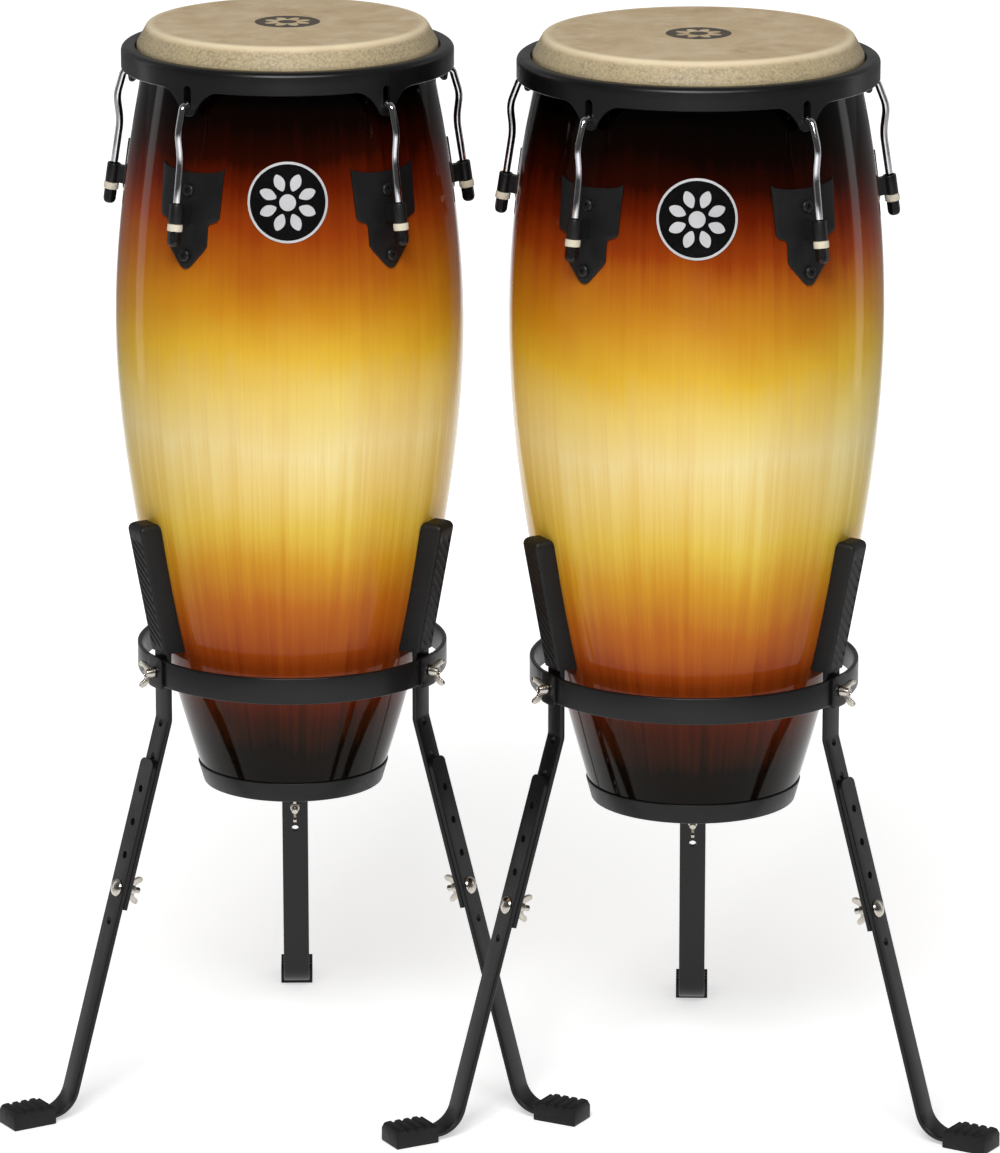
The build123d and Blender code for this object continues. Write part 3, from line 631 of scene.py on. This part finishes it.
def ear_drop(s):
    """How low the rim's edge is, this far sideways from a lug."""
    s = abs(s)
    if s >= EAR_HALF:
        return RIM_BOTTOM
    if s <= EAR_TIP_HALF:
        return EAR_BOTTOM + EAR_TIP_RISE * (1 - sqrt(max(1 - (s / EAR_TIP_HALF) ** 2, 0)))
    way = (s - EAR_TIP_HALF) / (EAR_HALF - EAR_TIP_HALF)
    shoulder = EAR_BOTTOM + EAR_TIP_RISE
    return shoulder + (RIM_BOTTOM - shoulder) * (1 - (1 - way) ** 2.2)


def make_rim(drum):
    """The counter-hoop: a rolled top edge, and a slotted ear above every lug."""
    outer = drum.head + RIM_OUT
    inner, lip = outer - RIM_WALL, drum.head + RIM_LIP_IN
    roll_z = RIM_BOTTOM + ROLL_START
    roll = rounded([(outer, roll_z), (outer, RIM_TOP), (lip, RIM_TOP),
                    (lip, HOOP_Z + HOOP_R + 0.6), (lip + RIM_WALL, HOOP_Z + HOOP_R + 0.6),
                    (lip + RIM_WALL, RIM_TOP - RIM_WALL), (inner, RIM_TOP - RIM_WALL),
                    (inner, roll_z)], [5.5, 3.5, 1.2, 1.2, 1, 1.5], 6)
    steps, rows = 720, 5
    azimuths = [360 * i / steps for i in range(steps)]
    vertices, faces = [], []
    for azimuth in azimuths:
        off = min(abs((azimuth - lug + 180) % 360 - 180) for lug in LUGS)
        low = ear_drop(radians(off) * outer)
        up = [low + (roll_z - low) * i / rows for i in range(rows)]
        up[0] += 0.8
        column = [(inner + 0.8, low), (outer - 0.8, low)] + [(outer, z) for z in up]
        column += roll + [(inner, z) for z in up[::-1]]
        vertices += [drum.point(azimuth, r, z) for r, z in column]
    count = len(vertices) // steps
    for i in range(steps):
        here, on = i * count, (i + 1) % steps * count
        faces += [(here + j, on + j, on + (j + 1) % count, here + (j + 1) % count) for j in range(count)]
    slots = []
    half = (SLOT_TOP - SLOT_BOTTOM) / 2 - SLOT_R
    slot = [(x, y + half * (1 if y >= 0 else -1)) for x, y in circle(SLOT_R, 32)]
    for lug in LUGS:
        slots.append(prism(slot, drum.aimed(lug, 0, (SLOT_TOP + SLOT_BOTTOM) / 2, 0), inner - 3, outer + 3))
    rim = piece(f"{drum.name}_counter_hoop", [(vertices, faces)], drum.rim, BLACK_STEEL,
                sharp=38, cut=slots)
    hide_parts(f"{drum.name}_rim")


def rod_frame(drum, azimuth, drop):
    """On a hook's straight rod, a distance below its top, with z down the rod."""
    tilt = radians(ROD_TILT)
    top_r = drum.shell_r(ROD_TOP_Z) + HOOK_OUT
    return drum.aimed(azimuth, top_r + drop * sin(tilt), ROD_TOP_Z - drop * cos(tilt), ROD_TILT - 90)


def make_hooks(drum):
    """Hooks: out through the rim's ear, bowed, then straight down the rod to the thinner thread."""
    inner, top_r = drum.head + RIM_OUT - RIM_WALL, drum.shell_r(ROD_TOP_Z) + HOOK_OUT

    def down_rod(drop):
        return top_r + drop * sin(radians(ROD_TILT)), ROD_TOP_Z - drop * cos(radians(ROD_TILT))

    path = rounded([(inner - 4, HOOK_Z), (inner + 10, HOOK_Z), (top_r + HOOK_BOW, HOOK_BOW_Z), down_rod(0),
                    down_rod(22)], [6, 30, 60], 9)
    path += [down_rod(44), down_rod(45), down_rod(ROD_LENGTH)]

    def size(i):
        return THREAD_R / ROD_R if i >= len(path) - 2 else 1.0

    hooks = [bar(drum, lug, path, circle(ROD_R, 20), size) for lug in LUGS]
    hooks = piece(f"{drum.name}_hooks", hooks, drum.rim, CHROME, bevel=0.5)
    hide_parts(f"{drum.name}_tuning_hooks")


def make_side_plates(drum):
    """The lugs' plates, bent to the shell, each with a guide tube on a web."""
    plates, brackets = [], []
    half = [(PLATE_HALF, PLATE_TOP), (32.5, 860), (30, 857), (24, 855), (21.5, 852), (21.5, 834), (19, 830),
            (6, PLATE_BOTTOM + 1), (3, PLATE_BOTTOM - 1.4)]
    top = [(PLATE_HALF * cos(pi * i / 10), PLATE_TOP - 6 * sin(pi * i / 10)) for i in range(1, 10)]
    outline = half + [(0, PLATE_BOTTOM - 2)] + [(-s, z) for s, z in half[::-1]] + top[::-1]
    for lug in LUGS:
        plates.append(wrapped(drum, lug, outline, drum.shell_r, PLATE, 6.0))
        tube = rounded([(BRACKET_BORE_R, 0), (BRACKET_R, 0), (BRACKET_R, BRACKET_LENGTH),
                        (BRACKET_BORE_R, BRACKET_LENGTH)], 0.8, 3, closed=True)
        on_rod = rod_frame(drum, lug, BRACKET_DROP)
        brackets.append(spin(tube, on_rod, 36, closed=True))
        web = [(-4, -WEB_REACH), (4, -WEB_REACH), (3.2, -4.8), (-3.2, -4.8)]
        brackets.append(prism(web, on_rod, 0.8, BRACKET_LENGTH - 0.8))
    plate = piece(f"{drum.name}_lug_plates", plates, drum.drum, DARK_STEEL, bevel=0.7)
    piece(f"{drum.name}_lug_brackets", brackets, drum.drum, DARK_STEEL)
    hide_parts(f"{drum.name}_side_plates")


def make_lug_nut(drum, number, lug):
    """A closed hexagon nut with rounded end, under its plastic washer."""
    name = f"{drum.name}_lug_nut_{number}"
    below = BRACKET_DROP + BRACKET_LENGTH + RUN_GAP
    washer = rounded([(3.7, 0), (WASHER_R, 0), (WASHER_R, WASHER_LENGTH), (3.7, WASHER_LENGTH)],
                     0.9, 3, closed=True)
    washer = spin(washer, rod_frame(drum, lug, below), 40, closed=True)
    piece(f"{drum.name}_lug_washer_{number}", [washer], name, CREAM_PLASTIC)
    caps = [(5.4, 0), (6.0, 0.7), (6.3, 1.5), (6.3, 9.0), (5.9, 10.4), (5.0, 12.2), (3.6, 13.5),
            (1.8, NUT_LENGTH)]
    profile = [((NUT_HALF, cap), h) for cap, h in caps]
    nut = spin(profile, rod_frame(drum, lug, below + WASHER_LENGTH), 48, flats=6)
    body = piece(f"{drum.name}_lug_cap_{number}", [nut], name, NUT_PLASTIC, sharp=28)
    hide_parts(name)


def make_badge(drum):
    """Enamel disc bent to the shell, with a raised silver edge and a plain eight-petal rosette."""
    def disc(profile):
        vertices, faces = [], []
        steps = 96
        for step in range(steps):
            a = 2 * pi * step / steps
            for r, lift in profile:
                z = BADGE_Z + r * sin(a)
                base = drum.shell_r(z)
                vertices.append(drum.point(degrees(r * cos(a) / base), base + lift, z))
        count = len(profile)
        for step in range(steps):
            here, on = step * count, (step + 1) % steps * count
            faces += [(here + i, on + i, on + i + 1, here + i + 1) for i in range(count - 1)]
        return vertices, faces

    def on_field(z):
        return drum.shell_r(z) + 0.6

    field = [(r, 0.7) for r in (0, 5, 10, 15, 20, 25, 30, BADGE_FIELD_R)]
    rim = rounded([(34.2, 0.1), (34.2, 1.2), (BADGE_R, 1.2), (BADGE_R, 0.1)], 0.5, 3)
    face = piece(f"{drum.name}_badge_field", [disc(field)], drum.drum, ENAMEL)
    piece(f"{drum.name}_badge_edge", [disc(rim + rim[:1])], drum.drum, SILVER)
    petals = []
    petal = curve_through([(11, 0), (17, 4.6), (23, 4.0), (27, 0), (23, -4.0), (17, -4.6)], 4, closed=True)
    for number in range(PETALS):
        a = 2 * pi * (number + 0.5) / PETALS
        turned = [(x * cos(a) - y * sin(a), BADGE_Z + x * sin(a) + y * cos(a)) for x, y in petal]
        petals.append(wrapped(drum, 0, turned, on_field, 0.35, 8.0))
    hub = [(x, BADGE_Z + y) for x, y in circle(7.5, 32)]
    petals.append(wrapped(drum, 0, hub, on_field, 0.35, 8.0))
    piece(f"{drum.name}_badge_rosette", petals, drum.drum, SILVER)
    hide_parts(f"{drum.name}_badge")


# --- stand pieces -----------------------------------------------------------------------------------

def leg_point(drum, along=0.0, outward=0.0):
    """(r, z) on a straight leg: some way down from its clamp, and out from the joined bars' face."""
    lean = radians(LEG_LEAN)
    return (drum.ring + CLAMP_FROM_RING + along * sin(lean) + outward * cos(lean),
            CLAMP_Z - along * cos(lean) + outward * sin(lean))


def leg_frame(drum, azimuth, along=0.0, outward=0.0):
    """At the same place, with z square to the leg and outwards."""
    r, z = leg_point(drum, along, outward)
    return drum.aimed(azimuth, r, z, LEG_LEAN)


def bar_section():
    thick, wide = BAR / 2, BAR_W / 2
    return rounded([(-thick, -wide), (thick, -wide), (thick, wide), (-thick, wide)], 1.1, 3, closed=True)


def make_ring(drum):
    inner, top = drum.ring - RING_WALL, RING_BOTTOM + RING_HEIGHT
    profile = rounded([(inner, RING_BOTTOM), (drum.ring, RING_BOTTOM), (drum.ring, top), (inner, top)],
                      1.3, 4, closed=True)
    middle = RING_BOTTOM + RING_HEIGHT / 2
    doubler = rounded([(-12.5, middle - 15), (12.5, middle - 15), (12.5, middle + 15), (-12.5, middle + 15)],
                      4, 5, closed=True)
    ring = piece(f"{drum.name}_ring", [spin(profile, drum.upright(), 180, closed=True)], drum.stand,
                 BLACK_STEEL)
    plates = [wrapped(drum, leg, doubler, lambda z: drum.ring - 0.1, DOUBLER, 4.0) for leg in LEGS]
    piece(f"{drum.name}_ring_doublers", plates, drum.stand, BLACK_STEEL, bevel=0.8)
    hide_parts(f"{drum.name}_basket_ring")


def make_upper_legs(drum):
    middle = drum.ring - RING_WALL - BAR_TO_RING - BAR / 2
    bottom = leg_point(drum, UPPER_END, -BAR / 2)
    bend_z = bottom[1] + (bottom[0] - middle) / tan(radians(LEG_LEAN))
    path = rounded([(middle + (ARM_TOP_Z - ARM_KNEE_Z) * tan(radians(ARM_LEAN)), ARM_TOP_Z),
                    (middle, ARM_KNEE_Z), (middle, bend_z), bottom], 14, 6)
    legs = [bar(drum, leg, path, bar_section()) for leg in LEGS]
    holes = [prism(circle(HOLE_R, 24), leg_frame(drum, leg, -number * HOLE_PITCH), -12, 4)
             for leg in LEGS for number in range(6)]
    legs = piece(f"{drum.name}_upper_bars", legs, drum.stand, BLACK_STEEL, cut=holes)
    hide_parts(f"{drum.name}_upper_legs")


def make_pads(drum):
    """Rubber pads: the inner face follows the shell, and slanting ribs cross the outer face."""
    rows, columns, half = 110, 30, PAD_W / 2
    outer_foot = drum.ring - RING_WALL - BAR_TO_RING + PAD_OUT
    round_top, round_side = 7.0, 3.0
    pads = []
    for leg in LEGS:
        vertices, faces = [], []
        levels = [(PAD_BOTTOM + (PAD_TOP - round_top - PAD_BOTTOM) * i / rows, 0.0) for i in range(rows + 1)]
        for step in range(1, 8):
            a = radians(90 * step / 7)
            levels.append((PAD_TOP - round_top + round_top * sin(a), round_top * (1 - cos(a))))
        for z, inset in levels:
            outer = outer_foot + (z - PAD_BOTTOM) * tan(radians(ARM_LEAN)) - inset
            wide = half - inset * 0.55
            ring = []
            for i in range(columns + 1):
                s = wide * (2 * i / columns - 1)
                edge = max(abs(s) - (wide - round_side), 0.0)
                fall = round_side - sqrt(max(round_side ** 2 - edge ** 2, 0.0))
                slant = ((z + 0.9 * s) / 9.0) % 1.0
                rib = min(1.0, 2.6 * min(slant, 1 - slant)) * 1.3
                fade = min(max((z - PAD_BOTTOM - 4) / 6, 0), max((PAD_TOP - 12 - z) / 6, 0), 1)
                if edge > 0.2:
                    rib = 1.3
                ring.append((s, outer - fall - (1.3 - rib) * fade))
            for i in range(columns + 1):
                s = wide * (1 - 2 * i / columns)
                shell = drum.shell_r(z) + 0.5 + inset * 0.25
                ring.append((s, sqrt(shell ** 2 - s ** 2)))
            vertices += [drum.point(leg, r, z, s) for s, r in ring]
        count = len(ring)
        for i in range(len(levels) - 1):
            for j in range(count):
                k = (j + 1) % count
                faces.append((i * count + j, i * count + k, (i + 1) * count + k, (i + 1) * count + j))
        faces.append(range(count))
        faces.append(range((len(levels) - 1) * count, len(levels) * count))
        pads.append((vertices, faces))
    pads = piece(f"{drum.name}_leg_pads", pads, drum.stand, RUBBER, sharp=50)
    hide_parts(f"{drum.name}_pads")


def make_lower_leg(drum, number, leg):
    middle = BAR / 2 + RUN_GAP
    top = leg_point(drum, -LOWER_END, middle)
    drop = (leg_point(drum, 0, middle)[1] - TAIL_Z) / cos(radians(LEG_LEAN))
    path = rounded([top, leg_point(drum, drop, middle), (drum.foot + TAIL_INTO_FOOT, TAIL_Z)], 27, 12)
    rod = bar(drum, leg, path, bar_section())
    cuts = [prism(circle(HOLE_R, 24), leg_frame(drum, leg, -along * HOLE_PITCH), -3, 12)
            for along in (-1, 0, 1, 2, 3)]
    for way in (1, -1):
        arc = [(way * (BAR_W / 2 - 8 + 8 * sin(pi / 16 * i)), -8 + 8 * cos(pi / 16 * i)) for i in range(9)]
        corner = arc + [(way * (BAR_W / 2 + 3), -8), (way * (BAR_W / 2 + 3), 3), (way * (BAR_W / 2 - 8), 3)]
        cuts.append(prism(corner, leg_frame(drum, leg, -LOWER_END), -3, 12))
    obj = piece(f"{drum.name}_lower_bar_{number}", [rod], f"{drum.name}_lower_leg_{number}", BLACK_STEEL,
                cut=cuts)
    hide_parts(f"{drum.name}_lower_leg_{number}")


def make_foot(drum, number, leg):
    """Rubber foot, pushed over the leg's tail, with ridges across its top."""
    start, end = drum.foot - FOOT_L / 2, drum.foot + FOOT_L / 2
    top = []
    ridges = 4
    pitch = (FOOT_L - 8) / ridges
    for i in range(ridges):
        base = end - 5 - i * pitch
        top += [(base, FOOT_H - 0.2), (base - pitch * 0.55, FOOT_H), (base - pitch * 0.62, FOOT_H - 2.0),
                (base - pitch * 0.9, FOOT_H - 2.0)]
    outline = [(start, 1), (start + 1, 0), (end - 1, 0), (end, 1), (end, FOOT_H - 5), (end - 2.5, FOOT_H - 1)]
    outline += top + [(start + 2, FOOT_H - 1), (start, FOOT_H - 3)]
    vertices = [drum.point(leg, r, z, s) for s in (-FOOT_W / 2, FOOT_W / 2) for r, z in outline]
    count = len(outline)
    faces = [(i, (i + 1) % count, count + (i + 1) % count, count + i) for i in range(count)]
    faces += [range(count), range(count, 2 * count)]
    foot = piece(f"{drum.name}_rubber_foot_{number}", [(vertices, faces)], f"{drum.name}_lower_leg_{number}",
                 RUBBER, bevel=0.9)
    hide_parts(f"{drum.name}_foot_{number}")


def wing_parts(place):
    """A wing screw's hub and two wings; the frame's z runs outwards from the hub's base."""
    hub = rounded([(WING_HUB_R, 0), (WING_HUB_R, 1.5), (WING_HUB_R - 1.2, WING_HUB), (3.2, WING_HUB)], 1.0, 4)
    parts = [spin([(0, 0)] + hub + [(3.2, WING_HUB - 1), (0, WING_HUB - 1)], place, 32)]
    lobe = curve_through([(3.4, 1), (7.5, 4.5), (11.8, 9), (13, 13), (11.4, 15), (8.6, 14.2), (6, 10.5),
                          (3.4, 8)], 5, closed=True)
    for way in (1, -1):
        wing = [(h, way * x) for x, h in lobe]
        blade = place @ Matrix.Rotation(-pi / 2, 4, "Y")
        parts.append(prism(wing, blade, -1.5, 1.5))
    return parts


def make_wing_bolt(drum, number, leg):
    base = drum.aimed(leg, drum.ring + DOUBLER + RUN_GAP, RING_BOTTOM + RING_HEIGHT / 2, 0)
    screw = spin([(0, -15.6), (2.4, -15.6), (3, -15), (3, 0.5), (0, 0.5)], base, 24)
    bolt = piece(f"{drum.name}_wing_bolt_{number}", wing_parts(base) + [screw],
                 f"{drum.name}_ring_wing_bolt_{number}", NICKEL, bevel=0.7)
    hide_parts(f"{drum.name}_ring_wing_bolt_{number}")


def make_leg_clamp(drum, number, leg):
    head = leg_frame(drum, leg, 0, BAR + 2 * RUN_GAP)
    dome = [(0, 4.2), (2.4, 4.1), (4.8, 3.5), (6.8, 2.4), (8.1, 1.1), (8.5, 0.3), (8.3, 0), (3, 0), (3, -24),
            (2.4, -24.6), (0, -24.6)]
    inside = leg_frame(drum, leg, 0, -BAR - RUN_GAP) @ Matrix.Rotation(pi, 4, "X")
    clamp = piece(f"{drum.name}_clamp_{number}", [spin(dome, head, 40)] + wing_parts(inside),
                  f"{drum.name}_leg_clamp_{number}", NICKEL, bevel=0.7)
    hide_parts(f"{drum.name}_leg_clamp_{number}")


for drum in DRUMS:
    make_shell(drum)
    make_base_band(drum)
    make_skin(drum)
    make_rim(drum)
    make_hooks(drum)
    make_side_plates(drum)
    make_badge(drum)
    for number, lug in enumerate(LUGS, 1):
        make_lug_nut(drum, number, lug)
    make_ring(drum)
    make_upper_legs(drum)
    make_pads(drum)
    for number, leg in enumerate(LEGS, 1):
        make_lower_leg(drum, number, leg)
        make_foot(drum, number, leg)
        make_wing_bolt(drum, number, leg)
        make_leg_clamp(drum, number, leg)
    for node, material in (("plate_bolts", DARK_STEEL), ("backing_nuts", ZINC), ("flesh_hoop", BLACK_STEEL)):
        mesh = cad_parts[f"{drum.name}_{node}"].data
        mesh.materials.clear()
        mesh.materials.append(material)


# --- stage, light and camera --------------------------------------------------------------------------

def make_floor():
    """A pale floor, glowing like a lit paper sweep in the strip behind the pair."""
    mesh = bpy.data.meshes.new("floor")
    reach = 14.0
    mesh.from_pydata([(-reach, -reach, 0), (reach, -reach, 0), (reach, reach, 0), (-reach, reach, 0)],
                     [], [(0, 1, 2, 3)])
    floor_piece = bpy.data.objects.new("floor", mesh)
    bpy.context.scene.collection.objects.link(floor_piece)
    s = Surface("pale_floor", Roughness=0.9, Specular_IOR_Level=0.1, Base_Color=grey(0.85))
    x, y, z = s.add("ShaderNodeSeparateXYZ", {"Vector": s.place}).outputs
    strip = s.span(s.math("ABSOLUTE", x), 0.9, 1.5, 1.0, 0.0)
    glow = s.math("MULTIPLY", strip, s.span(y, -0.5, 2.0, 0.42, 0.95))
    mesh.materials.append(s.feed(Emission_Color=grey(1.0), Emission_Strength=glow))


def soft_box(name, place, target, width, height, power):
    light = bpy.data.lights.new(name, "AREA")
    light.shape, light.size, light.size_y, light.energy = "RECTANGLE", width, height, power
    lamp = bpy.data.objects.new(name, light)
    lamp.location = place
    lamp.rotation_euler = (Vector(target) - Vector(place)).to_track_quat("-Z", "Y").to_euler()
    bpy.context.scene.collection.objects.link(lamp)


def make_world():
    """White light from behind and the sides, and much less from the front."""
    world = bpy.data.worlds.new("studio")
    bpy.context.scene.world = world
    world.use_nodes = True
    tree = world.node_tree
    place = tree.nodes.new("ShaderNodeTexCoord")
    split = tree.nodes.new("ShaderNodeSeparateXYZ")
    spread = tree.nodes.new("ShaderNodeMapRange")
    tree.links.new(place.outputs["Generated"], split.inputs[0])
    tree.links.new(split.outputs["Y"], spread.inputs["Value"])
    for key, value in (("From Min", -0.5), ("From Max", 0.6), ("To Min", 0.06), ("To Max", 0.30)):
        spread.inputs[key].default_value = value
    back = tree.nodes["Background"]
    back.inputs["Color"].default_value = (1, 1, 1, 1)
    tree.links.new(spread.outputs["Result"], back.inputs["Strength"])


def make_camera():
    """A long lens in front of the pair, a little to the right of the smaller drum, looking down."""
    camera = bpy.data.cameras.new("camera")
    camera.lens, camera.sensor_width, camera.sensor_fit = 215.4, 36.0, "AUTO"
    camera.clip_end = 100
    holder = bpy.data.objects.new("camera", camera)
    left = DRUMS[0]
    holder.location = Vector((left.x + 195, left.y - 45 - 6200, 2150)) * MM
    holder.rotation_euler = (radians(90 - 14.9), 0, 0)
    bpy.context.scene.collection.objects.link(holder)
    bpy.context.scene.camera = holder


make_floor()
make_world()
make_camera()
soft_box("key", (-0.7, -4.2, 4.2), (0, 0, 0.6), 2.0, 1.5, 185)
soft_box("fill", (1.2, -4.0, 3.9), (0, 0, 0.6), 1.6, 1.5, 60)
soft_box("left_strip", (-2.4, 0.9, 1.0), (-0.2, 0, 0.6), 0.4, 2.4, 4)
soft_box("right_strip", (2.4, 0.9, 1.0), (0.2, 0, 0.6), 0.4, 2.4, 4)
bpy.context.scene.view_settings.view_transform = "Standard"
